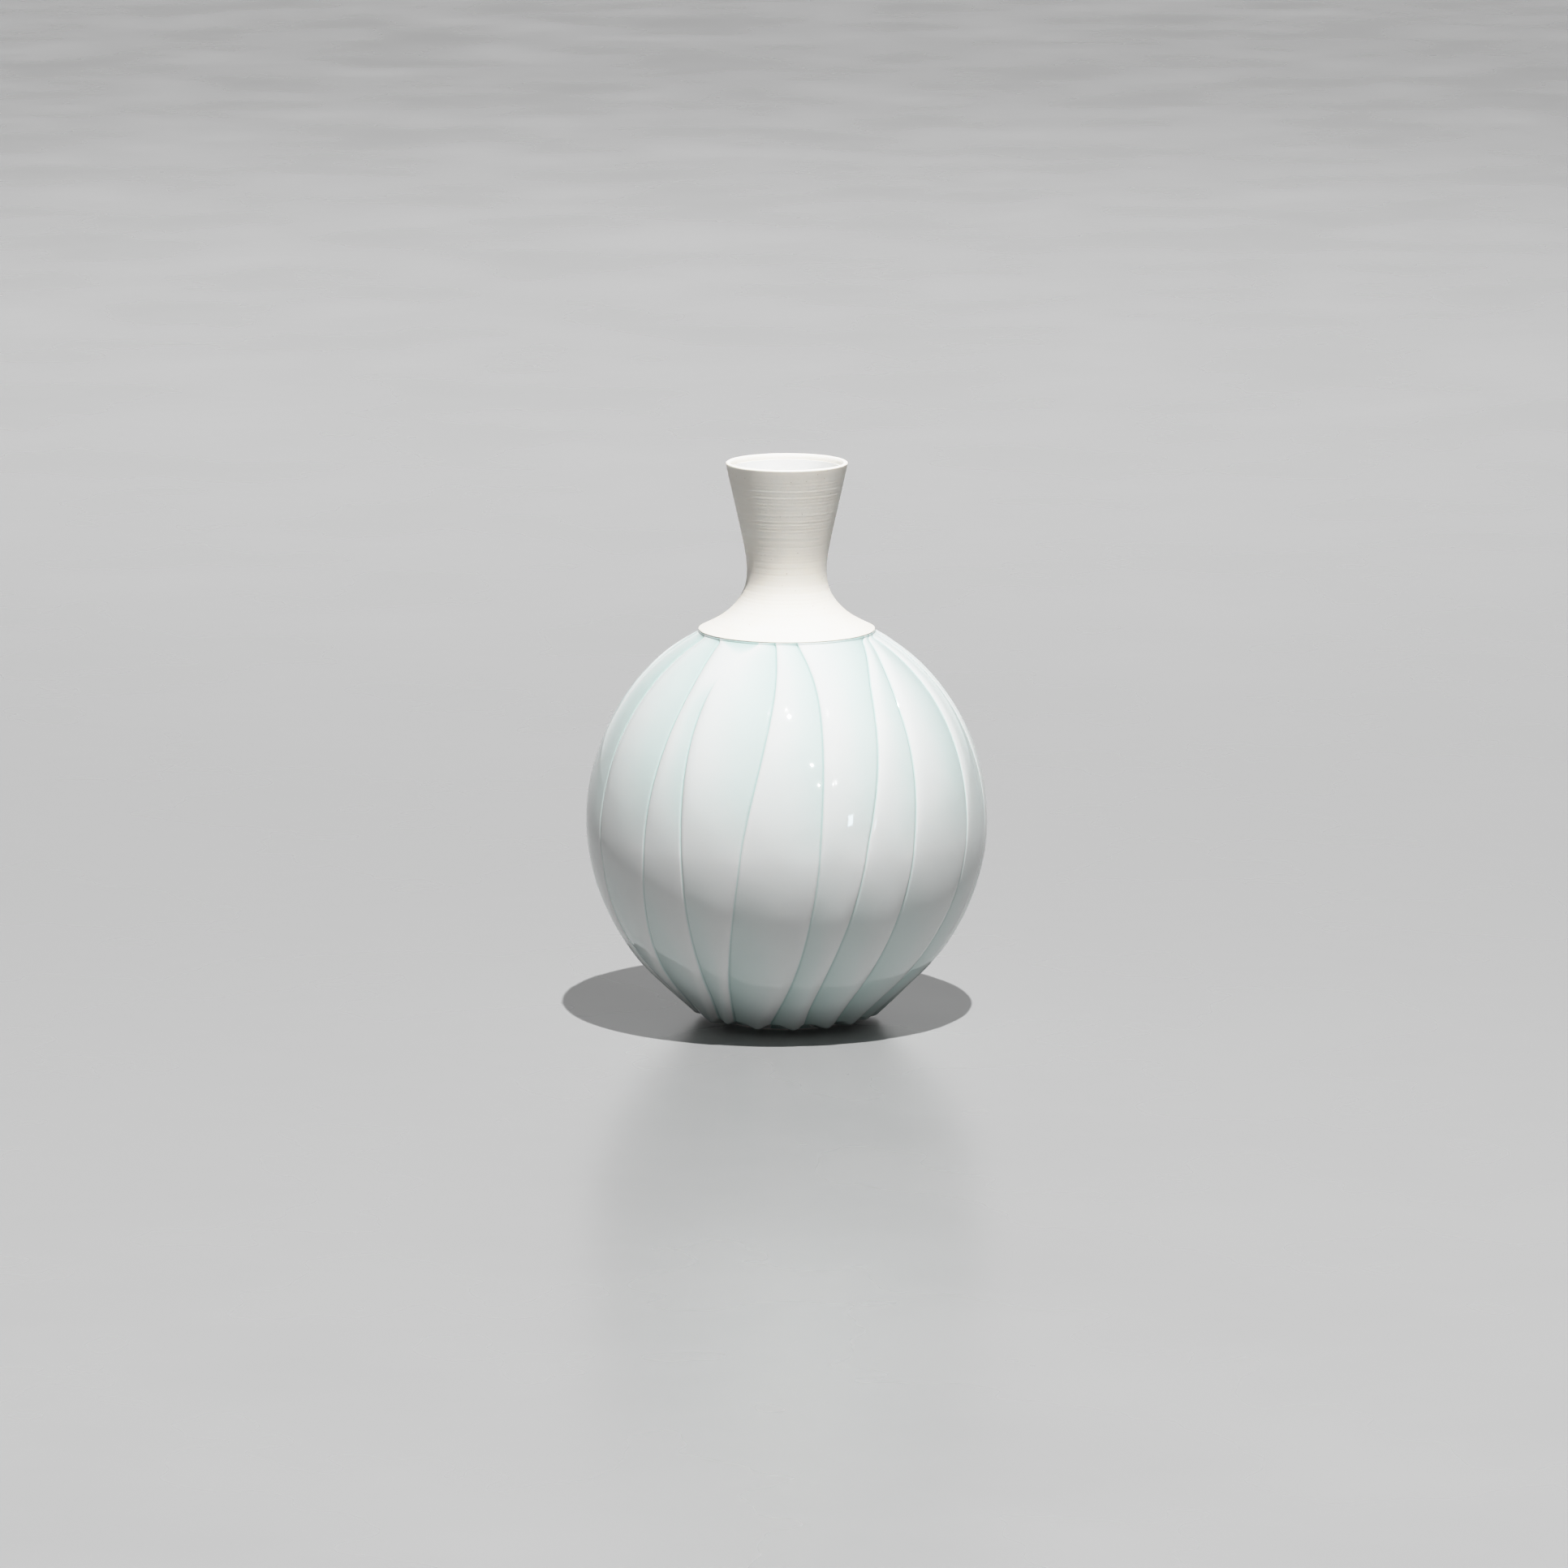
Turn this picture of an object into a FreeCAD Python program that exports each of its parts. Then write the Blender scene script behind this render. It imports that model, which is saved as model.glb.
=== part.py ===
import FreeCAD, Part
import math
import os

# Porcelain vase: a thrown globe with slanting carved ribs, and a bare collar and neck that are
# luted on top of it with slip. The globe wears a pale blue glaze outside, and the whole inside a
# clear one. Millimetres, +Z up. The origin is the centre of the foot, on the ground, and the
# front is towards -Y, with +X to the right of it.

# ---- Driving dimensions ----

# Thrown form of the globe, over its glaze: an ellipse that ends below in a straight taper.
GLOBE_RADIUS = 66.0
GLOBE_HALF_HEIGHT = 69.5
GLOBE_CENTRE_Z = 66.8
TAPER_TOP_Z = 15.8

# Foot: a plain turned ring with a shallow recess, hidden under the ends of the ribs.
FOOT_HEIGHT = 0.3
FOOT_RADIUS = 20.7
FOOT_BEVEL = 0.2
RECESS_RADIUS = 17.2
RECESS_DEPTH = 1.8

# Cavity of the globe, from its floor to the seam.
FLOOR_Z = 6.5
CAVITY_RADIUS = 60.8
CAVITY_SEAM_RADIUS = 22.9

# Seam between the globe and the collar, filled with slip that stands back from the collar's edge.
SEAM_LOW_Z = 129.3
SEAM_HIGH_Z = 129.9
SLIP_RADIUS = 28.3
SLIP_BULGE = 0.25

# Collar and neck: radius and height from the collar's edge through the throat to the mouth.
NECK_OUTSIDE = [
    (28.60, 130.40), (22.50, 133.60), (16.50, 138.90), (13.65, 144.30),
    (13.05, 150.50), (14.50, 160.30), (17.05, 171.80), (19.95, 184.85),
]
NECK_INSIDE = [
    (22.50, 129.90), (16.40, 133.60), (13.10, 138.90), (11.20, 144.30),
    (10.85, 150.50), (12.40, 160.30), (15.10, 171.80), (18.45, 184.85),
]
COLLAR_UNDER_RADIUS = 28.45
COLLAR_EDGE_RADIUS = 28.95
LIP_ROUND = 0.35

# Carving. Each cut line runs from foot to collar. Its row holds the angle at the waist, then how
# far it swings by the foot and a late extra sweep just above the foot, and how far it leans by
# the collar and a late extra sweep just below the collar. All are in degrees, and positive is
# towards the right seen from the front.
CUT_LINES = [
    (-67, -8, -6, -1, -1),
    (-45, -16, -16, 4, -9),
    (-31, -2, -19, -4, 17),
    (-14, -14, -10, 12, -6),
    (9, -10, -14, 5, -8),
    (22, -15, 4, 16, 24),
    (38, -11, 6, 10, 21),
    (62, -12, 0, 11, 1),
    (79, -12, -3, 9, 6),
    (101, -14, -8, 6, -4),
    (120, -10, -6, 10, 8),
    (136, -9, 2, 13, 11),
    (157, -12, -7, 7, -5),
    (175, -12, 4, 5, 4),
    (196, -14, -9, 8, 9),
    (212, -10, -5, 12, 7),
    (234, -13, -8, 6, -3),
    (252, -12, -3, 4, 5),
    (271, -10, -5, 3, -4),
]
WAIST_Z = 64.8
FOOT_SWING_POWER = 1.5
FOOT_SWEEP_POWER = 6
COLLAR_SWEEP_POWER = 10

# The third line dies out on the shoulder, between these heights.
FADING_LINE = CUT_LINES[2]
FADE_LOW_Z = 108.8
FADE_HIGH_Z = 121.8

# Each rib is pared at a slant, so that it stands proud along one cut line and sinks towards the
# other. Above the waist it sinks to the right, and below the waist to the left. These are the
# depths it sinks to at the shoulder and at the foot, and the powers by which they grow over the
# height and across the rib.
BEVEL_SHOULDER = 1.2
BEVEL_FOOT = 2.3
BEVEL_SHOULDER_POWER = 0.8
BEVEL_FOOT_POWER = 1.4
BEVEL_CURVE = 1.6

# The side that stands proud is rounded over into the cut line, and the tool also bites a narrow
# groove along it.
ROUND_WIDTH = 4.2
ROUND_CURVE = 2.2
BITE_DEPTH = 0.3
BITE_WIDTH = 0.6

# The ribs run out into plain circles at both ends. At the foot they curl under like petals, with
# notches between them where the ribs are pared to this share of a line's depth or deeper. At the
# collar the glaze swells a little.
CURL_HEIGHT = 1.6
CURL_DEPTH = 8.5
CURL_CURVE = 2.5
NOTCH_HEIGHT = 2.2
NOTCH_FULL = 0.6
RUN_OUT_HEIGHT = 1.5
RUN_OUT_DEPTH = -0.2
RUN_OUT_CURVE = 2

# Glaze: thin over the crests, pooled where the clay is cut this deep or deeper.
GLAZE_THIN = 0.35
GLAZE_POOLED = 0.75
POOLING_DEPTH = 1.2
LINER_GLAZE = 0.3
LINER_TOP_Z = 183.3

# Fineness of the model: poles of each rib's surface and how they crowd towards the foot, points
# on each half of the cavity's outline, and the gap that sewing may close.
POLES_ACROSS = 15
POLES_ALONG = 66
FOOT_CROWDING = 1.8
CAVITY_STEPS = 8
SEWING_GAP = 1e-4

FULL_TURN = 360


def vector(radius, z):
    """Point in the XZ plane, where every turned outline is drawn."""
    return FreeCAD.Vector(radius, 0.0, z)


def share(value, low, high):
    """How far value has come from low to high, held between 0 and 1."""
    return min(1.0, max(0.0, (value - low) / (high - low)))


def mix(a, b, amount):
    return a + (b - a) * amount


def smooth(amount):
    return amount * amount * (3.0 - 2.0 * amount)


# ---- Carved surface ----

def thrown_radius(z):
    """Radius of the globe before carving."""
    level = max(z, TAPER_TOP_Z)
    rise = (level - GLOBE_CENTRE_Z) / GLOBE_HALF_HEIGHT
    radius = GLOBE_RADIUS * math.sqrt(1.0 - rise * rise)
    slope = -GLOBE_RADIUS ** 2 * rise / (GLOBE_HALF_HEIGHT * radius)
    return radius + slope * (z - level)


def line_angle(line, z):
    """Angle of a cut line at a height, in degrees."""
    waist, foot_swing, foot_sweep, collar_lean, collar_sweep = line
    below = share(z, WAIST_Z, 0.0)
    above = share(z, WAIST_Z, SEAM_HIGH_Z)
    return (waist + foot_swing * below ** FOOT_SWING_POWER
            + foot_sweep * below ** FOOT_SWEEP_POWER
            + collar_lean * above + collar_sweep * above ** COLLAR_SWEEP_POWER)


def cut_share(line, z):
    """How fully a line is cut: to its whole depth, but for the line that dies out."""
    if line == FADING_LINE:
        return 1.0 - smooth(share(z, FADE_LOW_Z, FADE_HIGH_Z))
    return 1.0


def bevels(z):
    """How far ribs sink at their left and at their right cut line."""
    below = share(z, WAIST_Z, 0.0)
    above = share(z, WAIST_Z, SEAM_LOW_Z)
    return BEVEL_FOOT * below ** BEVEL_FOOT_POWER, BEVEL_SHOULDER * above ** BEVEL_SHOULDER_POWER


def cut_depth(reach, width, sink, neighbour_sink):
    """Depth that a cut line gives to a rib of this width, at a reach from the line. The rib sinks
    towards the line by one amount, and its neighbour by the other."""
    bevel = sink * (1.0 - reach / width) ** BEVEL_CURVE
    rounding = neighbour_sink * share(reach, min(ROUND_WIDTH, width), 0.0) ** ROUND_CURVE
    bite = BITE_DEPTH * share(reach, BITE_WIDTH, 0.0)
    return bevel + rounding + bite


def carved_depth(left_line, right_line, across, z, width):
    """Depth of the glaze's surface below the thrown form, across a rib from 0 to 1."""
    sink_left, sink_right = bevels(z)
    by_left = cut_depth(across * width, width, sink_left, sink_right)
    by_right = cut_depth((1.0 - across) * width, width, sink_right, sink_left)
    depth = cut_share(left_line, z) * by_left + cut_share(right_line, z) * by_right

    line_depth = sink_left + sink_right + BITE_DEPTH
    rib_end_z = FOOT_HEIGHT + NOTCH_HEIGHT * smooth(min(1.0, depth / (NOTCH_FULL * line_depth)))
    curl = share(z, rib_end_z + CURL_HEIGHT, rib_end_z) ** CURL_CURVE
    run_out = share(z, SEAM_LOW_Z - RUN_OUT_HEIGHT, SEAM_LOW_Z) ** RUN_OUT_CURVE
    return mix(mix(depth, CURL_DEPTH, curl), RUN_OUT_DEPTH, run_out)


def glaze_thickness(depth, z):
    """The deeper the clay is cut, the thicker the glaze pools, but it runs thin at both ends."""
    run_out = (share(z, FOOT_HEIGHT, FOOT_HEIGHT + CURL_HEIGHT)
               * share(z, SEAM_LOW_Z, SEAM_LOW_Z - RUN_OUT_HEIGHT))
    return mix(GLAZE_THIN, GLAZE_POOLED, share(depth, 0.0, POOLING_DEPTH) * run_out)


def carved_point(left_line, right_line, across, z, glazed):
    """Point on the rib between two cut lines, on the glaze or on the porcelain under it."""
    left = math.radians(line_angle(left_line, z))
    right = math.radians(line_angle(right_line, z))
    radius = thrown_radius(z)
    depth = carved_depth(left_line, right_line, across, z, radius * (right - left))
    radius -= depth
    if not glazed:
        radius -= glaze_thickness(depth, z)
    angle = mix(left, right, across)
    return FreeCAD.Vector(radius * math.sin(angle), -radius * math.cos(angle), z)


def pole_places(count):
    """Parameter, from 0 to 1, that each pole of a clamped cubic B-spline stands for."""
    spans = count - 3
    knots = [0] * 3 + list(range(spans + 1)) + [spans] * 3
    return [sum(knots[i + 1:i + 4]) / (3.0 * spans) for i in range(count)]


def clamped(count):
    """Knots and their multiplicities for a clamped cubic with this many poles."""
    spans = count - 3
    knots = [i / spans for i in range(spans + 1)]
    multiplicities = [4] + [1] * (spans - 1) + [4]
    return knots, multiplicities


def height_of(place):
    """Height at a place from 0 (foot) to 1 (collar), in steps over the surface that are nearly
    even, but closer together at the foot."""
    low = math.asin((FOOT_HEIGHT - GLOBE_CENTRE_Z) / GLOBE_HALF_HEIGHT)
    high = math.asin((SEAM_LOW_Z - GLOBE_CENTRE_Z) / GLOBE_HALF_HEIGHT)
    angle = mix(low, high, place ** FOOT_CROWDING)
    return GLOBE_CENTRE_Z + GLOBE_HALF_HEIGHT * math.sin(angle)


def crowded_to_lines(place):
    """Even steps across a rib turned into steps that are close together at both cut lines."""
    return (1.0 - math.cos(math.pi * place)) / 2.0


def rib_surface(left_line, right_line, glazed):
    """Surface of one rib. Neighbours have the same poles along their shared cut line."""
    poles = [[carved_point(left_line, right_line, across, height_of(along), glazed)
              for along in pole_places(POLES_ALONG)]
             for across in map(crowded_to_lines, pole_places(POLES_ACROSS))]
    u_knots, u_mults = clamped(POLES_ACROSS)
    v_knots, v_mults = clamped(POLES_ALONG)
    surface = Part.BSplineSurface()
    surface.buildFromPolesMultsKnots(poles, u_mults, v_mults, u_knots, v_knots, False, False, 3, 3)
    return surface


def carved_skin(glazed):
    """Faces of all ribs, with the plain rims they end in at the foot and at the seam."""
    first_line = CUT_LINES[0]
    closing_line = (first_line[0] + FULL_TURN,) + first_line[1:]
    lines = CUT_LINES + [closing_line]
    surfaces = [rib_surface(left, right, glazed) for left, right in zip(lines, lines[1:])]
    faces = [surface.toShape() for surface in surfaces]
    rims = [Part.Wire([surface.vIso(end).toShape() for surface in surfaces]) for end in (0.0, 1.0)]
    return faces, rims


def sewn_solid(faces):
    shape = Part.makeCompound(faces)
    shape.sewShape(SEWING_GAP)
    solid = Part.makeSolid(shape.Shells[0])
    return outward(solid)


def outward(solid):
    """The same solid, with its faces pointing outwards."""
    return solid if solid.Volume > 0 else solid.reversed()


# ---- Turned outlines ----

def line(a, b):
    return Part.LineSegment(vector(*a), vector(*b)).toShape()


def arc(a, middle, b):
    return Part.Arc(vector(*a), vector(*middle), vector(*b)).toShape()


def curve(points):
    """Smooth curve through the points."""
    through = Part.BSplineCurve()
    through.interpolate([vector(*point) for point in points])
    return through.toShape()


def turned(*edges):
    """Solid of revolution of a closed outline in the XZ plane."""
    face = Part.Face(Part.Wire(edges))
    return outward(face.revolve(FreeCAD.Vector(0, 0, 0), FreeCAD.Vector(0, 0, 1), FULL_TURN))


def cavity_curve(inset):
    """Inside of the globe from the floor's centre to the seam: two quarter ellipses that meet at
    the widest level, the upper one cut short by the seam."""
    low_half = GLOBE_CENTRE_Z - FLOOR_Z - inset
    seam_rise = SEAM_LOW_Z - GLOBE_CENTRE_Z
    high_half = seam_rise / math.sqrt(1.0 - (CAVITY_SEAM_RADIUS / CAVITY_RADIUS) ** 2)
    seam_angle = math.asin(seam_rise / high_half)
    radius = CAVITY_RADIUS - inset
    points = []
    for step in range(-CAVITY_STEPS, CAVITY_STEPS + 1):
        if step < 0:
            angle = math.pi / 2 * step / CAVITY_STEPS
            half = low_half
        else:
            angle = seam_angle * step / CAVITY_STEPS
            half = high_half
        points.append((radius * math.cos(angle), GLOBE_CENTRE_Z + half * math.sin(angle)))
    points[0] = (0.0, FLOOR_Z + inset)
    return points


def cavity(inset):
    """Solid that fills the vase's inside up to the mouth, smaller by the inset."""
    globe = cavity_curve(inset)
    neck = [(radius - inset, z) for radius, z in NECK_INSIDE]
    top = (0.0, neck[-1][1])
    return turned(
        curve(globe),
        line(globe[-1], neck[0]),
        curve(neck),
        line(neck[-1], top),
        line(top, globe[0]),
    )


# ---- Pieces ----

def make_pieces():
    glaze_faces, glaze_rims = carved_skin(True)
    clay_faces, clay_rims = carved_skin(False)
    hollow = cavity(0.0)

    coat_ends = [Part.Face([outer, inner]) for outer, inner in zip(glaze_rims, clay_rims)]
    outer_glaze = sewn_solid(glaze_faces + clay_faces + coat_ends)

    form = sewn_solid(clay_faces + [Part.Face(rim) for rim in clay_rims])
    carved_globe = form.fuse(foot_ring()).cut(foot_recess()).cut(hollow)

    return {
        "carved_globe": carved_globe,
        "outer_glaze": outer_glaze,
        "slip_seam": slip_seam(),
        "neck_and_shoulder": neck_and_shoulder(),
        "liner_glaze": liner_glaze(hollow),
    }


def foot_ring():
    centre = (0.0, 0.0)
    bevel_low = (FOOT_RADIUS - FOOT_BEVEL, 0.0)
    bevel_high = (FOOT_RADIUS, FOOT_BEVEL)
    top = (FOOT_RADIUS, FOOT_HEIGHT)
    top_centre = (0.0, FOOT_HEIGHT)
    return turned(
        line(centre, bevel_low),
        line(bevel_low, bevel_high),
        line(bevel_high, top),
        line(top, top_centre),
        line(top_centre, centre),
    )


def foot_recess():
    """Shallow cone-sided hollow turned out of the base, so that the vase stands on a ring."""
    return Part.makeCone(RECESS_RADIUS, RECESS_RADIUS - RECESS_DEPTH, RECESS_DEPTH)


def slip_seam():
    """Ring of slip between the globe's rim and the collar, its outside slightly squeezed out."""
    middle_z = (SEAM_LOW_Z + SEAM_HIGH_Z) / 2
    inner_low = (CAVITY_SEAM_RADIUS, SEAM_LOW_Z)
    inner_high = NECK_INSIDE[0]
    outer_low = (SLIP_RADIUS, SEAM_LOW_Z)
    outer_high = (SLIP_RADIUS, SEAM_HIGH_Z)
    return turned(
        line(inner_low, outer_low),
        arc(outer_low, (SLIP_RADIUS + SLIP_BULGE, middle_z), outer_high),
        line(outer_high, inner_high),
        line(inner_high, inner_low),
    )


def neck_and_shoulder():
    """Collar, throat and flared mouth, with a rounded lip and a small rounded edge to the collar."""
    under = (COLLAR_UNDER_RADIUS, SEAM_HIGH_Z)
    edge_top = NECK_OUTSIDE[0]
    edge = (COLLAR_EDGE_RADIUS, (SEAM_HIGH_Z + edge_top[1]) / 2)
    lip_outside = NECK_OUTSIDE[-1]
    lip_inside = NECK_INSIDE[-1]
    lip_top = ((lip_outside[0] + lip_inside[0]) / 2, lip_outside[1] + LIP_ROUND)
    return turned(
        line(NECK_INSIDE[0], under),
        arc(under, edge, edge_top),
        curve(NECK_OUTSIDE),
        arc(lip_outside, lip_top, lip_inside),
        curve(NECK_INSIDE),
    )


def liner_glaze(hollow):
    """Glaze that lines the inside, up to just under the lip."""
    shell = hollow.cut(cavity(LINER_GLAZE))
    height = hollow.BoundBox.ZMax - LINER_TOP_Z
    above = Part.makeCylinder(GLOBE_RADIUS, height, FreeCAD.Vector(0, 0, LINER_TOP_Z))
    return shell.cut(above)


os.makedirs("parts", exist_ok=True)
for name, shape in make_pieces().items():
    shape.exportStep(f"parts/{name}.step")
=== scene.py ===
import math

import bpy
import numpy as np
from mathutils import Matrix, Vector


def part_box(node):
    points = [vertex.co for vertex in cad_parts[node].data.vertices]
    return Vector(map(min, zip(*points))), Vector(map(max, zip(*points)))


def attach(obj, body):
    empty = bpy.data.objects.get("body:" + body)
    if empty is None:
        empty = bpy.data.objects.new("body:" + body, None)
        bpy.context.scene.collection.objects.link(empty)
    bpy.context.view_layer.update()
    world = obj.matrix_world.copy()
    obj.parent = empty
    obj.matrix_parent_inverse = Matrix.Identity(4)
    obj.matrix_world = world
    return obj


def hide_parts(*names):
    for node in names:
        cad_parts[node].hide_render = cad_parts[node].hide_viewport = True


# Looks of the porcelain vase: a carved globe under pale blue glaze, with a bare collar and neck.
# Metres, in the frame of the CAD model: +Z up, the foot's centre at the origin, front towards -Y.
# Sizes that carry the design are in millimetres, as in the CAD model, and MM turns them into metres.
MM = 0.001

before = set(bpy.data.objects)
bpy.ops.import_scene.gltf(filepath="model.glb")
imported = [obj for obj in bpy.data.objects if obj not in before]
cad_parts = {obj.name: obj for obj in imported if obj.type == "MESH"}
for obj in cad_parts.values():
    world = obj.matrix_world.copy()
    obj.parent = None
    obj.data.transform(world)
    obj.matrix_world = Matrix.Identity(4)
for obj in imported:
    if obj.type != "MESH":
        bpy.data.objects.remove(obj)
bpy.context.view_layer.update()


# ---- Sizes read from the frame ----

neck_low, neck_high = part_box("neck_and_shoulder")
glaze_low, glaze_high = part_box("outer_glaze")

LIP_Z = neck_high.z / MM
COLLAR_Z = neck_low.z / MM
SEAM_Z = glaze_high.z / MM
RIB_END_Z = glaze_low.z / MM


# ---- Design of the carving, as in the CAD model ----

GLOBE_RADIUS = 66.0
GLOBE_HALF_HEIGHT = 69.5
GLOBE_CENTRE_Z = 66.8
TAPER_TOP_Z = 15.8
WAIST_Z = 64.8

# Each cut line: angle at the waist, swing by the foot, late sweep just above the foot, lean by the
# collar, late sweep under the collar. Degrees, positive to the right seen from the front.
CUT_LINES = np.array([
    (-67, -8, -6, -1, -1),
    (-45, -16, -16, 4, -9),
    (-31, -2, -19, -4, 17),
    (-14, -14, -10, 12, -6),
    (9, -10, -14, 5, -8),
    (22, -15, 4, 16, 24),
    (38, -11, 6, 10, 21),
    (62, -12, 0, 11, 1),
    (79, -12, -3, 9, 6),
    (101, -14, -8, 6, -4),
    (120, -10, -6, 10, 8),
    (136, -9, 2, 13, 11),
    (157, -12, -7, 7, -5),
    (175, -12, 4, 5, 4),
    (196, -14, -9, 8, 9),
    (212, -10, -5, 12, 7),
    (234, -13, -8, 6, -3),
    (252, -12, -3, 4, 5),
    (271, -10, -5, 3, -4),
], float)
FOOT_SWING_POWER = 1.5
FOOT_SWEEP_POWER = 6
COLLAR_SWEEP_POWER = 10

# How gently the lines start to lean at the waist, as a share of the height from there to the
# collar. The CAD model's lines start at once.
WAIST_EASE = 0.12

# The third line dies out on the shoulder, between these heights.
FADING_LINE = 2
FADE_LOW_Z = 108.8
FADE_HIGH_Z = 121.8

# Depth that a rib sinks to at the shoulder and at the foot, and the powers by which it grows over
# the height and across the rib. Above the waist it sinks to the right, and below to the left.
BEVEL_SHOULDER = 1.2
BEVEL_FOOT = 2.3
BEVEL_SHOULDER_POWER = 0.8
BEVEL_FOOT_POWER = 1.4
BEVEL_CURVE = 1.6

# The proud side is rounded over into the cut line, and a narrow groove is bitten along it.
ROUND_WIDTH = 4.2
ROUND_CURVE = 2.2
BITE_DEPTH = 0.3
BITE_WIDTH = 0.6

# At the foot the ribs curl under like petals, with notches between them where they are pared to
# this share of a line's depth or deeper. At the collar the glaze swells a little.
CURL_HEIGHT = 1.6
CURL_DEPTH = 8.5
CURL_CURVE = 2.5
NOTCH_HEIGHT = 2.2
NOTCH_FULL = 0.6
RUN_OUT_HEIGHT = 1.5
RUN_OUT_DEPTH = -0.2
RUN_OUT_CURVE = 2
GLAZE_THICKNESS = 0.3

# Hand work: how uneven the carved surface is, over a good part of a rib, and its seed.
UNEVEN_DEPTH = 0.055
UNEVEN_SEED = 4
UNEVEN_WAVES = 16
UNEVEN_LENGTH = 22.0
UNEVEN_TURNS = (3, 24)

# Thickness of pooled glaze on top of the thin coat, in millimetres: over the ribs' backs, as much
# more as it looks where it's seen at a slant, and in the bitten lines. It thins out to nothing
# towards a rib's proud side, over the crest's width.
BACK_POOL = 0.10
SLANT_POOL = 0.25
BITE_POOL = 0.9
CREST_WIDTH = 3.0
WAIST_BLEND = 9.0

# Dab of thick glaze where the fading line would have met the collar: degrees and millimetres.
DAB_TURN = (-50.0, -18.0)
DAB_SKEW = 1.9
DAB_HEIGHT = 3.2
DAB_MARGIN = 0.01
DAB_EDGE = 4.0
DAB_POOL = 1.2

# Roll of glaze that fills the corner under the collar's edge.
ROLL_ROWS = 9
ROLL_CLIMB = 0.12
ROLL_BULGE = 0.10
ROLL_SHRINK = 0.22
ROLL_POOL = 0.10

# Collar and neck: radius and height, from the collar's edge to the lip.
NECK_OUTSIDE = [
    (28.60, 130.40), (22.50, 133.60), (16.50, 138.90), (13.65, 144.30),
    (13.05, 150.50), (14.50, 160.30), (17.05, 171.80), (19.95, 184.85),
]
NECK_INSIDE = [
    (22.50, 129.90), (16.40, 133.60), (13.10, 138.90), (11.20, 144.30),
    (10.85, 150.50), (12.40, 160.30), (15.10, 171.80), (18.45, 184.85),
]
COLLAR_UNDER_RADIUS = 28.45
COLLAR_EDGE_RADIUS = 28.95
THROWING_DEPTH = 0.03
THROWING_PITCH = (0.9, 2.6)
THROWING_WAVES = 5
THROWING_SEED = 11

# Fineness of the meshes.
COLUMNS_PER_RIB = 32
GLOBE_ROWS = 230
ROW_CROWDING = 0.11
TURNED_SEGMENTS = 192
TURNING_STEP = 0.28
INSIDE_STEP = 1.12
ARC_POINTS = 9


# ---- Small helpers ----

def share(value, low, high):
    """How far value has come from low to high, held between 0 and 1."""
    return np.clip((value - low) / (high - low), 0.0, 1.0)


def mix(a, b, amount):
    return a + (b - a) * amount


def smooth(amount):
    return amount * amount * (3.0 - 2.0 * amount)


def spline(points, step):
    """Points about a step apart along a smooth curve through the given ones, which it keeps."""
    points = np.array(points, float)
    knots = np.concatenate([[0.0], np.cumsum(np.linalg.norm(np.diff(points, axis=0), axis=1))])
    count = len(points)
    gaps = np.diff(knots)
    system = np.eye(count)
    rates = np.zeros_like(points)
    for i in range(1, count - 1):
        system[i, i - 1:i + 2] = gaps[i - 1], 2.0 * (gaps[i - 1] + gaps[i]), gaps[i]
        slopes = np.diff(points[i - 1:i + 2], axis=0) / gaps[i - 1:i + 1, None]
        rates[i] = 6.0 * (slopes[1] - slopes[0])
    bends = np.linalg.solve(system, rates)
    places = np.linspace(0.0, knots[-1], int(round(knots[-1] / step)) + 1)
    span = np.clip(np.searchsorted(knots, places, side="right") - 1, 0, count - 2)
    gap = gaps[span][:, None]
    before = (knots[span + 1] - places)[:, None] / gap
    after = 1.0 - before
    return (before * points[span] + after * points[span + 1]
            + ((before ** 3 - before) * bends[span] + (after ** 3 - after) * bends[span + 1])
            * gap ** 2 / 6.0)


def arc(start, middle, end, count):
    """So many points on a smooth bend from start to end that passes through middle."""
    start, middle, end = (np.array(point, float) for point in (start, middle, end))
    control = 2.0 * middle - (start + end) / 2.0
    t = np.linspace(0.0, 1.0, count)[:, None]
    return (1 - t) ** 2 * start + 2 * t * (1 - t) * control + t ** 2 * end


def ring_mesh(name, rings, closed=True):
    """Mesh of quads between rings of points, given in millimetres as rings x points x 3. A closed
    mesh joins its last ring to its first."""
    rows, columns = rings.shape[:2]
    index = np.arange(rows * columns).reshape(rows, columns)
    low = index if closed else index[:-1]
    high = np.roll(index, -1, axis=0) if closed else index[1:]
    quads = np.stack([low, np.roll(low, -1, axis=1), np.roll(high, -1, axis=1), high], axis=-1)
    mesh = bpy.data.meshes.new(name)
    mesh.from_pydata((rings.reshape(-1, 3) * MM).tolist(), [], quads.reshape(-1, 4).tolist())
    mesh.update()
    mesh.shade_smooth()
    piece = bpy.data.objects.new(name, mesh)
    bpy.context.scene.collection.objects.link(piece)
    return piece


def turned_rings(outline):
    """Rings of a turned form from its (radius, height) outline."""
    outline = np.array(outline, float)
    turn = np.linspace(0.0, 2.0 * math.pi, TURNED_SEGMENTS, endpoint=False)
    radius, height = outline[:, :1], outline[:, 1:]
    return np.stack([radius * np.sin(turn), -radius * np.cos(turn),
                     np.broadcast_to(height, (len(outline), TURNED_SEGMENTS))], axis=-1)


def point_attribute(piece, name, values):
    attribute = piece.data.attributes.new(name, "FLOAT", "POINT")
    attribute.data.foreach_set("value", np.ascontiguousarray(values, np.float32).ravel())


def finish_piece(piece, slot_name, material, *nodes):
    """Makes the piece ride on the vase's one body and stand for its CAD nodes."""
    piece.data.materials.append(material)
    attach(piece, "root")
    if nodes:
        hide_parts(*nodes)


def dress(node_name, material):
    """Gives a piece of the CAD model its material, and leaves its mesh alone."""
    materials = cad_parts[node_name].data.materials
    materials.clear()
    materials.append(material)


# ---- Carved globe ----

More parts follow.
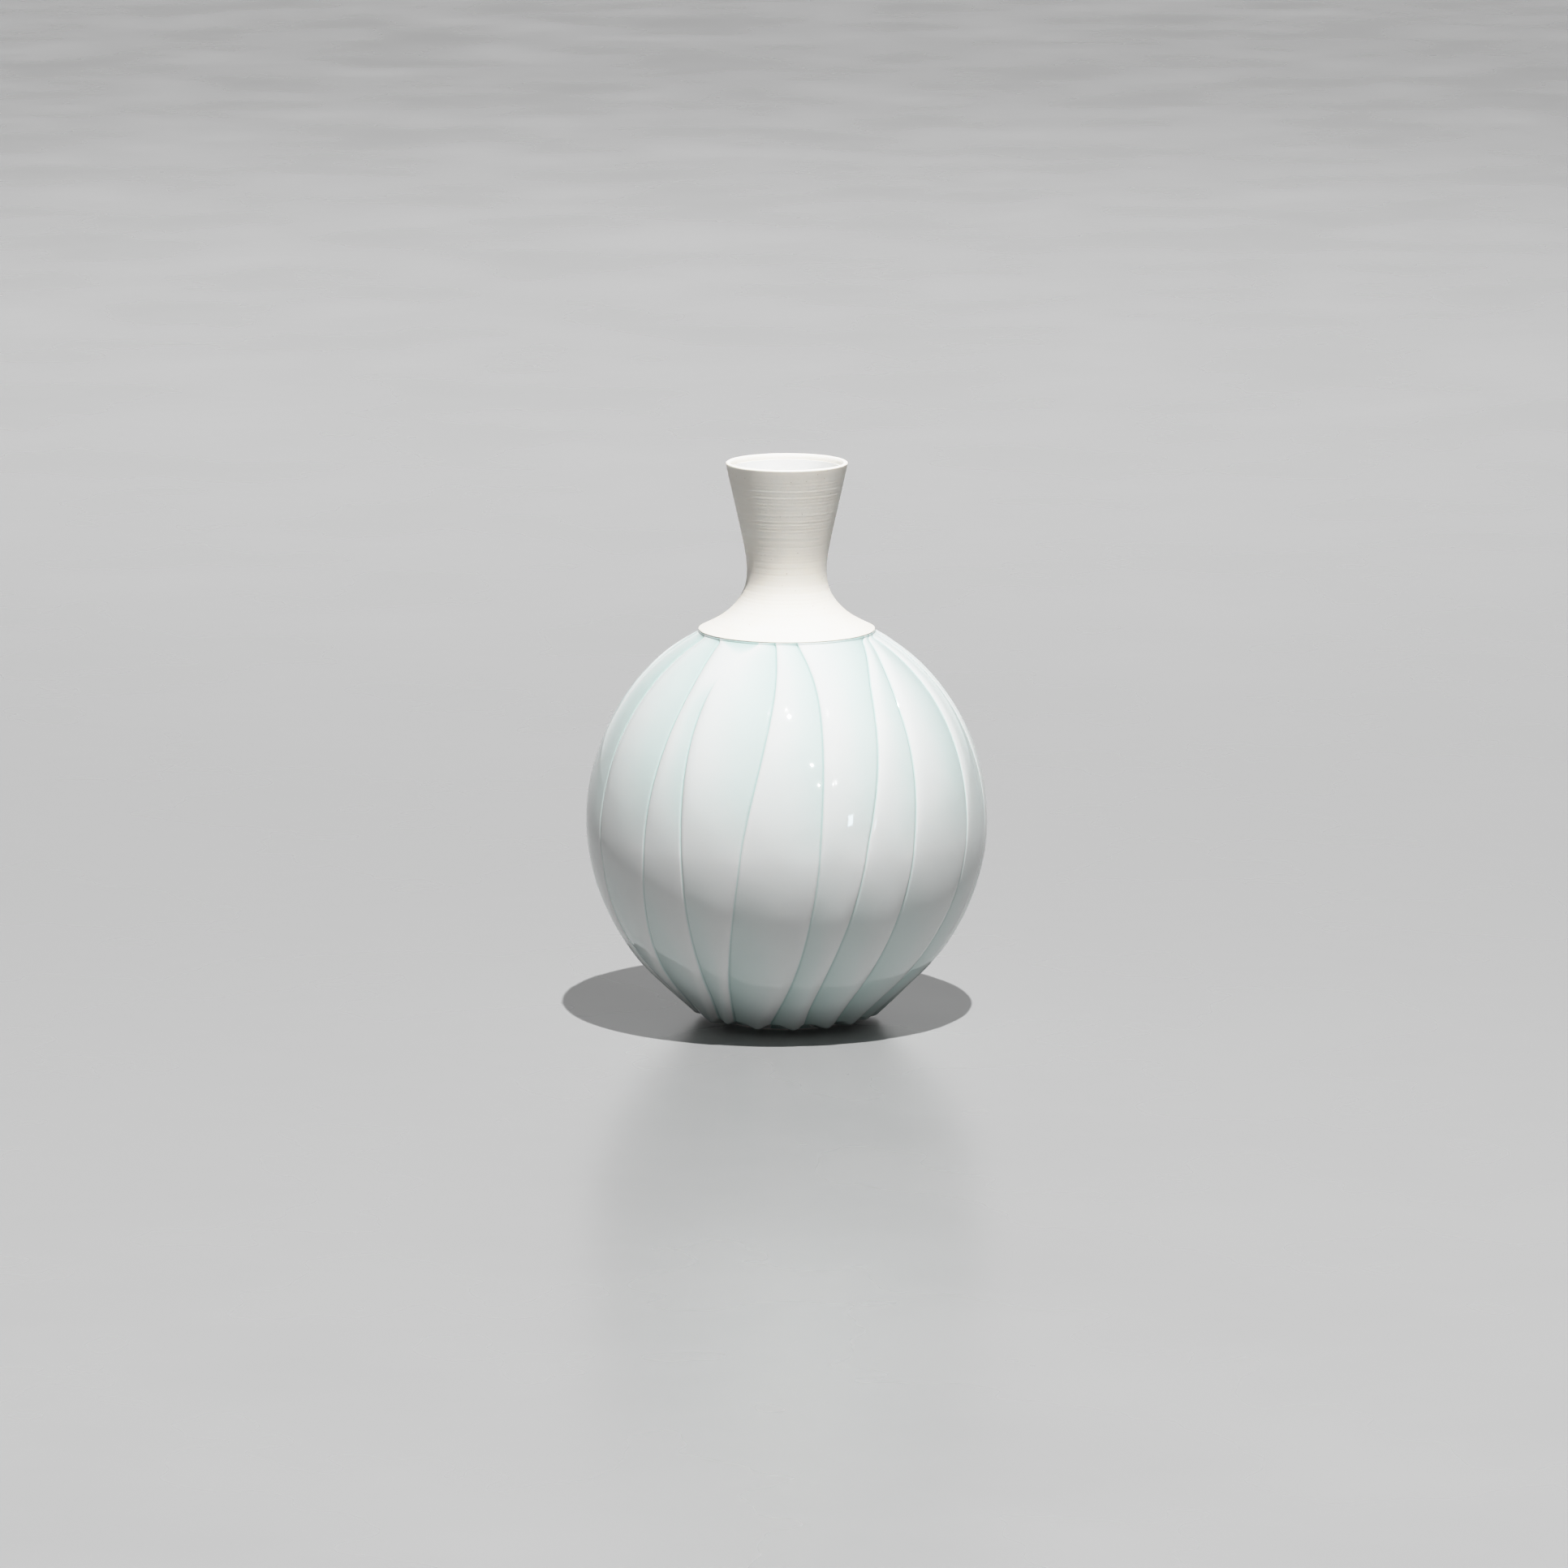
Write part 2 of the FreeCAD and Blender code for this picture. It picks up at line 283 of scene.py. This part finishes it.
def thrown_radius(z):
    """Radius of the globe before carving, at each height."""
    level = np.maximum(z, TAPER_TOP_Z)
    rise = (level - GLOBE_CENTRE_Z) / GLOBE_HALF_HEIGHT
    radius = GLOBE_RADIUS * np.sqrt(1.0 - rise ** 2)
    slope = -GLOBE_RADIUS ** 2 * rise / (GLOBE_HALF_HEIGHT * radius)
    return radius + slope * (z - level)


def globe_heights(rows):
    """Heights of the mesh's rows, nearly even over the surface, but closer at both ends."""
    low = math.asin((RIB_END_Z - GLOBE_CENTRE_Z) / GLOBE_HALF_HEIGHT)
    high = math.asin((SEAM_Z - GLOBE_CENTRE_Z) / GLOBE_HALF_HEIGHT)
    even = np.linspace(0.0, 1.0, rows)
    crowded = even - ROW_CROWDING * np.sin(2.0 * math.pi * even)
    return GLOBE_CENTRE_Z + GLOBE_HALF_HEIGHT * np.sin(mix(low, high, crowded))


def line_angles(z):
    """Angle of each cut line at each height, in radians, with the first line again at the end."""
    waist, foot_swing, foot_sweep, collar_lean, collar_sweep = CUT_LINES.T
    below = share(z, WAIST_Z, 0.0)[:, None]
    above = share(z, WAIST_Z, COLLAR_Z)[:, None]
    rise = (z[:, None] - WAIST_Z) / (COLLAR_Z - WAIST_Z)
    eased = (rise + np.sqrt(rise ** 2 + WAIST_EASE ** 2)) / 2.0
    angles = (waist + foot_swing * below ** FOOT_SWING_POWER
              + foot_sweep * below ** FOOT_SWEEP_POWER
              + collar_lean * eased + collar_sweep * above ** COLLAR_SWEEP_POWER)
    return np.radians(np.hstack([angles, angles[:, :1] + 360.0]))


def line_strengths(z):
    """How fully each line is cut at each height: 1, but for the line that dies out."""
    strengths = np.ones((len(z), len(CUT_LINES)))
    strengths[:, FADING_LINE] = 1.0 - smooth(share(z, FADE_LOW_Z, FADE_HIGH_Z))
    return np.hstack([strengths, strengths[:, :1]])


def cut_depth(reach, width, sink, neighbour_sink):
    """Depth that a cut line gives to a rib of this width, at a reach from the line, and the depth
    of glaze that pools there. The rib sinks towards the line by one amount, and its neighbour by
    the other."""
    bevel = sink * (1.0 - reach / width) ** BEVEL_CURVE
    rounding = neighbour_sink * share(reach, np.minimum(ROUND_WIDTH, width), 0.0) ** ROUND_CURVE
    near = share(reach, BITE_WIDTH, 0.0)
    pooled = bevel + (BITE_POOL + neighbour_sink) * near ** 2
    return bevel + rounding + BITE_DEPTH * near, pooled


def carved_grid(z):
    """Angle, radius of the glaze and pooling of the glaze, each rows x columns round the globe."""
    angles = line_angles(z)
    strengths = line_strengths(z)
    left, right = angles[:, :-1, None], angles[:, 1:, None]
    left_cut, right_cut = strengths[:, :-1, None], strengths[:, 1:, None]
    place = np.linspace(0.0, 1.0, COLUMNS_PER_RIB, endpoint=False)
    across = ((1.0 - np.cos(math.pi * place)) / 2.0)[None, None, :]
    angle = mix(left, right, across)
    height = z[:, None, None]
    radius = thrown_radius(height)
    width = radius * (right - left)
    from_left = across * width
    from_right = (1.0 - across) * width

    sink_left = BEVEL_FOOT * share(height, WAIST_Z, 0.0) ** BEVEL_FOOT_POWER
    sink_right = BEVEL_SHOULDER * share(height, WAIST_Z, SEAM_Z) ** BEVEL_SHOULDER_POWER
    by_left, pool_by_left = cut_depth(from_left, width, sink_left, sink_right)
    by_right, pool_by_right = cut_depth(from_right, width, sink_right, sink_left)
    depth = left_cut * by_left + right_cut * by_right

    above = smooth(share(height, WAIST_Z - WAIST_BLEND, WAIST_Z + WAIST_BLEND))
    crest = mix(right_cut * share(from_right, CREST_WIDTH, 0.0),
                left_cut * share(from_left, CREST_WIDTH, 0.0), above)
    pool = BACK_POOL * (1.0 - crest) + left_cut * pool_by_left + right_cut * pool_by_right

    line_depth = sink_left + sink_right + BITE_DEPTH
    notch = smooth(np.minimum(1.0, depth / (NOTCH_FULL * line_depth)))
    rib_end = RIB_END_Z + NOTCH_HEIGHT * notch
    depth = depth + UNEVEN_DEPTH * unevenness(angle, height)
    curl = share(height, rib_end + CURL_HEIGHT, rib_end) ** CURL_CURVE
    run_out = share(height, SEAM_Z - RUN_OUT_HEIGHT, SEAM_Z) ** RUN_OUT_CURVE
    surface = mix(mix(depth, CURL_DEPTH, curl), RUN_OUT_DEPTH, run_out)
    rows = len(z)
    return angle.reshape(rows, -1), (radius - surface).reshape(rows, -1), pool.reshape(rows, -1)


def unevenness(angle, height):
    """A seeded sum of slow waves over the globe, with a size of about 1, that closes round it."""
    random = np.random.default_rng(UNEVEN_SEED)
    total = 0.0
    for wave in range(UNEVEN_WAVES):
        turns = random.integers(*UNEVEN_TURNS)
        rise = random.uniform(-1.0, 1.0) * 2.0 * math.pi / UNEVEN_LENGTH
        total = total + np.sin(turns * angle + rise * height + random.uniform(0.0, 2.0 * math.pi))
    return total / math.sqrt(UNEVEN_WAVES)


def dab(angle, height):
    """Share of the glaze dab at each place: a lens on the collar's line, drawn out to a point."""
    across = share(np.degrees(angle), *DAB_TURN)
    lens = np.maximum(np.sin(math.pi * across ** DAB_SKEW), 0.0)
    filled = smooth(share(SEAM_Z - height, DAB_HEIGHT * lens + DAB_MARGIN, 0.0))
    return filled * np.minimum(1.0, DAB_EDGE * lens)


def around(angle, radius, z):
    """Points from angles, radii and heights: rows x columns x 3."""
    return np.stack([radius * np.sin(angle), -radius * np.cos(angle),
                     np.broadcast_to(z[:, None], angle.shape)], axis=-1)


def make_glaze(material):
    """Glaze coat: the carved surface outside, and a plain offset of it against the porcelain. It
    ends above in a small roll that climbs to the collar."""
    z = globe_heights(GLOBE_ROWS)
    angle, radius, pool = carved_grid(z)
    pool = pool + DAB_POOL * dab(angle, z[:, None])

    climb = np.linspace(0.0, 1.0, ROLL_ROWS)[1:]
    roll = (ROLL_BULGE * np.sin(math.pi * climb) - ROLL_SHRINK * climb)[:, None]
    z = np.concatenate([z, mix(SEAM_Z, COLLAR_Z + ROLL_CLIMB, climb)])
    angle = np.concatenate([angle, np.repeat(angle[-1:], len(climb), axis=0)])
    radius = np.concatenate([radius, radius[-1] + roll])
    pool = np.concatenate([pool, pool[-1] + ROLL_POOL * np.ones_like(roll)])

    outside = around(angle, radius, z)
    inside = around(angle, radius - GLAZE_THICKNESS, z)[::-1]
    piece = ring_mesh("glazed_globe", np.concatenate([outside, inside]))
    point_attribute(piece, "pool", np.concatenate([pool, pool[::-1]]))
    finish_piece(piece, "blue_glaze", material, "outer_glaze")
    return piece


# ---- Turned pieces ----

def make_neck(material):
    """Bare collar and neck, with fine throwing lines and a rounded lip."""
    outside = spline(NECK_OUTSIDE, TURNING_STEP)
    inside = spline(NECK_INSIDE, INSIDE_STEP)[::-1]
    lip_middle = ((NECK_OUTSIDE[-1][0] + NECK_INSIDE[-1][0]) / 2, LIP_Z)
    lip = arc(NECK_OUTSIDE[-1], lip_middle, NECK_INSIDE[-1], ARC_POINTS)[1:-1]
    under = (COLLAR_UNDER_RADIUS, COLLAR_Z)
    edge_middle = (COLLAR_EDGE_RADIUS, (COLLAR_Z + NECK_OUTSIDE[0][1]) / 2)
    edge = arc(under, edge_middle, NECK_OUTSIDE[0], ARC_POINTS)[:-1]
    outside[1:-1, 0] += THROWING_DEPTH * throwing_lines(outside[1:-1, 1])

    rings = turned_rings(np.concatenate([edge, outside, lip, inside]))
    piece = ring_mesh("bare_neck", rings)
    finish_piece(piece, "bare_porcelain", material, "neck_and_shoulder")
    return piece


def throwing_lines(z):
    """Fine grooves left by the fingers and the rib on the wheel, between -1 and 1."""
    random = np.random.default_rng(THROWING_SEED)
    waves = [np.sin(2.0 * math.pi * z / random.uniform(*THROWING_PITCH) + random.uniform(0.0, 6.0))
             for wave in range(THROWING_WAVES)]
    return sum(waves) / THROWING_WAVES


# ---- Materials ----

class Nodes:
    """Short way to add and join the nodes of one material, or of the world."""

    def __init__(self, name, owner=None, shader="Principled BSDF"):
        self.owner = owner or bpy.data.materials.new(name)
        self.owner.use_nodes = True
        self.tree = self.owner.node_tree
        self.shader = self.tree.nodes[shader]

    def add(self, kind, settings=None, **inputs):
        node = self.tree.nodes.new(kind)
        for key, value in (settings or {}).items():
            setattr(node, key, value)
        for key, value in inputs.items():
            self.set(node.inputs[key.replace("_", " ")], value)
        return node

    def set(self, socket, value):
        if isinstance(value, bpy.types.NodeSocket):
            self.tree.links.new(value, socket)
        else:
            socket.default_value = value

    def shade(self, **inputs):
        for key, value in inputs.items():
            self.set(self.shader.inputs[key.replace("_", " ")], value)

    def noise(self, scale, detail=2.0, roughness=0.5, vector=None):
        """Noise whose features are 1/scale of a metre across."""
        node = self.add("ShaderNodeTexNoise", Scale=scale, Detail=detail, Roughness=roughness)
        self.set(node.inputs["Vector"], vector or self.place())
        return node.outputs["Fac"]

    def place(self):
        return self.add("ShaderNodeTexCoord").outputs["Object"]

    def ramp(self, value, stops):
        node = self.add("ShaderNodeValToRGB", Fac=value)
        elements = node.color_ramp.elements
        while len(elements) < len(stops):
            elements.new(0.5)
        for element, (position, colour) in zip(elements, stops):
            element.position = position
            element.color = (*colour, 1.0)
        return node.outputs["Color"]

    def stretched(self, scale):
        """Object space, with another number of features to the metre along each axis."""
        return self.add("ShaderNodeMapping", Vector=self.place(), Scale=scale).outputs["Vector"]

    def specks(self, colour, scale, size, rarity, speck_colour):
        """The colour with small specks in it, in as few cells as the rarity leaves."""
        cells = self.add("ShaderNodeTexVoronoi", Scale=scale, Vector=self.place())
        chance = self.split(cells.outputs["Color"])[0]
        rare = self.math("GREATER_THAN", chance, rarity)
        dot = self.math("LESS_THAN", cells.outputs["Distance"], size)
        node = self.add("ShaderNodeMix", {"data_type": "RGBA"})
        self.set(node.inputs[0], self.math("MULTIPLY", rare, dot))
        self.set(node.inputs[6], colour)
        self.set(node.inputs[7], (*speck_colour, 1.0))
        return node.outputs[2]

    def grey_ramp(self, value, stops):
        return self.ramp(value, [(position, (level,) * 3) for position, level in stops])

    def split(self, vector):
        return self.add("ShaderNodeSeparateXYZ", Vector=vector).outputs

    def range(self, value, from_low, from_high, to_low, to_high):
        node = self.add("ShaderNodeMapRange", Value=value, From_Min=from_low, From_Max=from_high,
                        To_Min=to_low, To_Max=to_high)
        return node.outputs["Result"]

    def math(self, operation, a, b):
        node = self.add("ShaderNodeMath", {"operation": operation})
        self.set(node.inputs[0], a)
        self.set(node.inputs[1], b)
        return node.outputs[0]

    def bump(self, height, strength, distance, normal=None):
        node = self.add("ShaderNodeBump", Height=height, Strength=strength, Distance=distance)
        if normal is not None:
            self.set(node.inputs["Normal"], normal)
        return node.outputs["Normal"]


# Colour of the glaze over the porcelain, by how many millimetres of it have pooled.
GLAZE_FULL_POOL = 2.4
GLAZE_COLOURS = [
    (0.0, (0.885, 0.885, 0.872)),
    (0.18, (0.834, 0.860, 0.844)),
    (0.5, (0.725, 0.815, 0.792)),
    (1.2, (0.590, 0.722, 0.694)),
    (GLAZE_FULL_POOL, (0.410, 0.570, 0.540)),
]


def blue_glaze():
    """Glossy translucent glaze: nearly white where it is thin, blue-green where it has pooled."""
    nodes = Nodes("blue_glaze")
    pool = nodes.add("ShaderNodeAttribute", {"attribute_name": "pool"}).outputs["Fac"]
    drift = nodes.noise(45.0, 3.0)
    pool = nodes.math("ADD", pool, nodes.range(drift, 0.3, 0.7, -0.04, 0.06))
    slant = nodes.add("ShaderNodeLayerWeight", Blend=0.5).outputs["Facing"]
    slanted = nodes.range(nodes.math("POWER", slant, 2.0), 0.0, 1.0, 0.0, SLANT_POOL)
    pool = nodes.math("ADD", pool, slanted)
    stops = [(depth / GLAZE_FULL_POOL, colour) for depth, colour in GLAZE_COLOURS]
    colour = nodes.ramp(nodes.range(pool, 0.0, GLAZE_FULL_POOL, 0.0, 1.0), stops)
    skin = nodes.noise(300.0, 2.0)
    nodes.shade(
        Base_Color=colour,
        Roughness=nodes.range(drift, 0.3, 0.7, 0.03, 0.05),
        IOR=1.58,
        Subsurface_Weight=0.2,
        Subsurface_Radius=(1.0, 0.9, 0.8),
        Subsurface_Scale=0.001,
        Normal=nodes.bump(skin, 0.04, 0.0002),
    )
    return nodes.owner


# Faint painted glow of the lip, in place of the light that shines through it where it is thin:
# how far down it reaches, and its strength.
LIP_GLOW_HEIGHT = 1.8
LIP_GLOW = 0.22


def bare_porcelain():
    """Unglazed fired porcelain: matte and faintly warm, with fine throwing marks and specks, and a
    painted glow at the lip.
    """
    nodes = Nodes("bare_porcelain")
    tone = nodes.noise(60.0, 4.0)
    rings = nodes.noise(1.0, 3.0, vector=nodes.stretched((25.0, 25.0, 900.0)))
    grain = nodes.noise(2500.0, 2.0)
    shade = nodes.math("ADD", tone, nodes.range(rings, 0.3, 0.7, -0.12, 0.12))
    colour = nodes.ramp(shade, [(0.3, (0.918, 0.870, 0.794)), (0.7, (0.948, 0.910, 0.848))])
    relief = nodes.math("ADD", nodes.range(rings, 0.0, 1.0, 0.0, 0.5),
                        nodes.range(grain, 0.0, 1.0, 0.0, 0.3))
    height = nodes.split(nodes.place())[2]
    # Painted glow: emission that grows towards the lip, in place of light shining through the thin
    # porcelain.
    near_lip = nodes.range(height, (LIP_Z - LIP_GLOW_HEIGHT) * MM, LIP_Z * MM, 0.0, 1.0)
    painted_glow = nodes.math("MULTIPLY", nodes.math("POWER", near_lip, 2.0), LIP_GLOW)
    nodes.shade(
        Base_Color=nodes.specks(colour, 1400.0, 0.235, 0.985, (0.62, 0.56, 0.48)),
        Roughness=nodes.range(grain, 0.3, 0.7, 0.50, 0.65),
        IOR=1.45,
        Subsurface_Weight=0.15,
        Subsurface_Radius=(1.0, 0.85, 0.7),
        Subsurface_Scale=0.001,
        Emission_Color=(1.0, 0.97, 0.92, 1.0),
        Emission_Strength=painted_glow,
        Normal=nodes.bump(relief, 0.4, 0.0001),
    )
    return nodes.owner


def porcelain_body():
    """Unglazed foot and base of the globe: like the collar, but wiped smoother."""
    nodes = Nodes("porcelain_body")
    tone = nodes.noise(90.0, 4.0)
    grain = nodes.noise(2500.0, 2.0)
    nodes.shade(
        Base_Color=nodes.ramp(tone, [(0.3, (0.845, 0.825, 0.785)), (0.7, (0.885, 0.868, 0.832))]),
        Roughness=nodes.range(grain, 0.3, 0.7, 0.45, 0.60),
        IOR=1.45,
        Normal=nodes.bump(grain, 0.15, 0.0001),
    )
    return nodes.owner


def slip():
    """Dried and fired slip: greyer and grainier than the porcelain it joins."""
    nodes = Nodes("slip")
    tone = nodes.noise(300.0, 4.0)
    grain = nodes.noise(1800.0, 3.0)
    nodes.shade(
        Base_Color=nodes.ramp(tone, [(0.3, (0.760, 0.785, 0.765)), (0.7, (0.825, 0.835, 0.810))]),
        Roughness=nodes.range(grain, 0.3, 0.7, 0.55, 0.75),
        IOR=1.45,
        Normal=nodes.bump(grain, 0.3, 0.0002),
    )
    return nodes.owner


def clear_glaze():
    """Clear glossy glaze on white porcelain, inside the vase."""
    nodes = Nodes("clear_glaze")
    drift = nodes.noise(120.0, 3.0)
    colour = nodes.ramp(drift, [(0.3, (0.90, 0.90, 0.89)), (0.7, (0.93, 0.935, 0.925))])
    nodes.shade(
        Base_Color=colour,
        Roughness=nodes.range(drift, 0.3, 0.7, 0.10, 0.16),
        IOR=1.5,
        Normal=nodes.bump(drift, 0.05, 0.0002),
    )
    return nodes.owner


def pale_floor_material():
    """Plain pale floor with a slight sheen."""
    nodes = Nodes("pale_floor")
    cloud = nodes.noise(9.0, 3.0)
    grain = nodes.noise(300.0, 3.0)
    nodes.shade(
        Base_Color=nodes.grey_ramp(cloud, [(0.3, 0.328), (0.7, 0.348)]),
        Roughness=nodes.range(cloud, 0.3, 0.7, 0.25, 0.29),
        Normal=nodes.bump(grain, 0.02, 0.0002),
    )
    return nodes.owner


# ---- Stage: floor, light and camera ----

FLOOR_SIZE = 24.0

# The key light: a small far lamp, high in front and a little to the right. It casts the shadow, and
# its glint comes from a lamp of its own.
KEY_DIRECTION = Vector((0.088, -0.342, 0.9356))
KEY_DISTANCE = 2.6
KEY_POWER = 410.0
KEY_SIZE = 0.018

# Lamps that only show as glints in the glaze: degrees to the right, degrees up, watts, size.
GLINT_LAMPS = [
    (13.0, 63.0, 120.0, 0.013),
    (10.5, 67.0, 14.0, 0.008),
    (22.0, 36.0, 14.0, 0.008),
    (24.0, 25.0, 16.0, 0.008),
    (31.0, 25.0, 14.0, 0.008),
]
GLINT_DISTANCE = 2.6

# A pale blue window low on the right, which only shows in the glaze too.
WINDOW_TURN = 39.5
WINDOW_RISE = 5.5
WINDOW_DISTANCE = 3.0
WINDOW_SIZE = (0.17, 0.27)
WINDOW_POWER = 1.8
WINDOW_COLOUR = (0.66, 0.88, 1.0)

# A wide spot straight down on the floor behind the vase, which it doesn't reach.
WASH_PLACE = (0.0, 1.7, 2.2)
WASH_CONE = 75.0
WASH_POWER = 120.0

# Brightness of the room's walls, from in front of the vase (0) to behind it (1), and how it falls
# from the horizon (0) to the ceiling (1).
ROOM_SIDES = [(0.0, 0.13), (0.5, 0.13), (0.90, 0.27), (0.97, 0.78), (1.0, 1.00)]
ROOM_FALL = [(0.0, 1.45), (0.12, 1.15), (0.25, 0.75), (0.55, 0.20), (0.80, 0.08)]
ROOM_LEFT = 1.25
ROOM_RIGHT = 0.75

# Film response: brightness of the scene, and of the picture.
FILM_WHITE = 2.4
FILM_CURVE = [(0.0, 0.0), (0.6, 0.60), (0.9, 0.80), (1.3, 0.92), (1.8, 0.97), (FILM_WHITE, 1.0)]


def make_floor():
    mesh = bpy.data.meshes.new("pale_floor")
    half = FLOOR_SIZE / 2
    mesh.from_pydata([(-half, -half, 0), (half, -half, 0), (half, half, 0), (-half, half, 0)],
                     [], [(0, 1, 2, 3)])
    floor = bpy.data.objects.new("pale_floor", mesh)
    bpy.context.scene.collection.objects.link(floor)
    floor.data.materials.append(pale_floor_material())


def far_away(turn, rise, distance):
    """Place at a distance from the vase's middle, turn degrees to the right and rise degrees up."""
    turn, rise = math.radians(turn), math.radians(rise)
    level = Vector((math.sin(turn), -math.cos(turn), 0.0)) * math.cos(rise)
    middle = Vector((0.0, 0.0, SEAM_Z / 2 * MM))
    return (level + Vector((0.0, 0.0, math.sin(rise)))) * distance + middle


def add_lamp(name, kind, place, power):
    lamp = bpy.data.lights.new(name, kind)
    lamp.energy = power
    holder = bpy.data.objects.new(name, lamp)
    holder.location = place
    bpy.context.scene.collection.objects.link(holder)
    return holder


def only_glints(lamp, receivers):
    """Lets a lamp show only as a reflection in the receivers."""
    lamp.visible_diffuse = False
    lamp.light_linking.receiver_collection = receivers


def make_light(glazed_piece):
    """Key light, glints, window and floor wash, and the soft light of the room."""
    receivers = bpy.data.collections.new("glossy_pieces")
    receivers.objects.link(glazed_piece)

    key = add_lamp("key", "POINT", KEY_DIRECTION * KEY_DISTANCE, KEY_POWER)
    key.data.shadow_soft_size = KEY_SIZE
    key.visible_glossy = False
    for number, (turn, rise, power, size) in enumerate(GLINT_LAMPS):
        glint = add_lamp(f"glint_{number}", "POINT", far_away(turn, rise, GLINT_DISTANCE), power)
        glint.data.shadow_soft_size = size
        only_glints(glint, receivers)

    window_place = far_away(WINDOW_TURN, WINDOW_RISE, WINDOW_DISTANCE)
    window = add_lamp("window", "AREA", window_place, WINDOW_POWER)
    window.rotation_euler = window.location.to_track_quat("Z", "Y").to_euler()
    only_glints(window, receivers)
    window.data.shape = "RECTANGLE"
    window.data.size, window.data.size_y = WINDOW_SIZE
    window.data.color = WINDOW_COLOUR

    wash = add_lamp("floor_wash", "SPOT", WASH_PLACE, WASH_POWER)
    wash.data.spot_size = math.radians(WASH_CONE)
    wash.data.spot_blend = 1.0
    bpy.context.scene.world = room_light()


def room_light():
    """Soft light from the walls all round, brightest behind the vase and dim overhead."""
    nodes = Nodes("room", bpy.data.worlds.new("room"), "Background")
    across, depth, height = nodes.split(nodes.add("ShaderNodeTexCoord").outputs["Generated"])
    walls = nodes.grey_ramp(nodes.range(depth, -1.0, 1.0, 0.0, 1.0), ROOM_SIDES)
    fall = nodes.grey_ramp(height, ROOM_FALL)
    tilt = nodes.range(across, -1.0, 1.0, ROOM_LEFT, ROOM_RIGHT)
    nodes.shade(Color=walls, Strength=nodes.math("MULTIPLY", fall, tilt))
    return nodes.owner


CAMERA_LENS = 198.2
CAMERA_SENSOR = 36.0
CAMERA_PITCH = math.radians(10.4)
CAMERA_PLACE = (-0.0009, -2.7907, 0.5904)


def make_camera():
    """Long lens from the front, looking slightly down."""
    lens = bpy.data.cameras.new("camera")
    lens.lens = CAMERA_LENS
    lens.sensor_width = CAMERA_SENSOR
    lens.clip_end = 60.0
    camera = bpy.data.objects.new("camera", lens)
    camera.location = CAMERA_PLACE
    camera.rotation_euler = (math.pi / 2 - CAMERA_PITCH, 0.0, 0.0)
    bpy.context.scene.collection.objects.link(camera)
    bpy.context.scene.camera = camera
    develop(bpy.context.scene.view_settings)


def develop(view):
    """Film response with soft highlights."""
    view.view_transform = "Standard"
    view.use_curve_mapping = True
    curve = view.curve_mapping
    curve.white_level = (FILM_WHITE,) * 3
    points = curve.curves[3].points
    while len(points) < len(FILM_CURVE):
        points.new(0.5, 0.5)
    for point, (scene_level, picture_level) in zip(points, FILM_CURVE):
        point.location = (scene_level / FILM_WHITE, picture_level)
    curve.update()


# ---- Build ----

glazed_globe = make_glaze(blue_glaze())
make_neck(bare_porcelain())
dress("carved_globe", porcelain_body())
dress("slip_seam", slip())
dress("liner_glaze", clear_glaze())
make_floor()
make_light(glazed_globe)
make_camera()
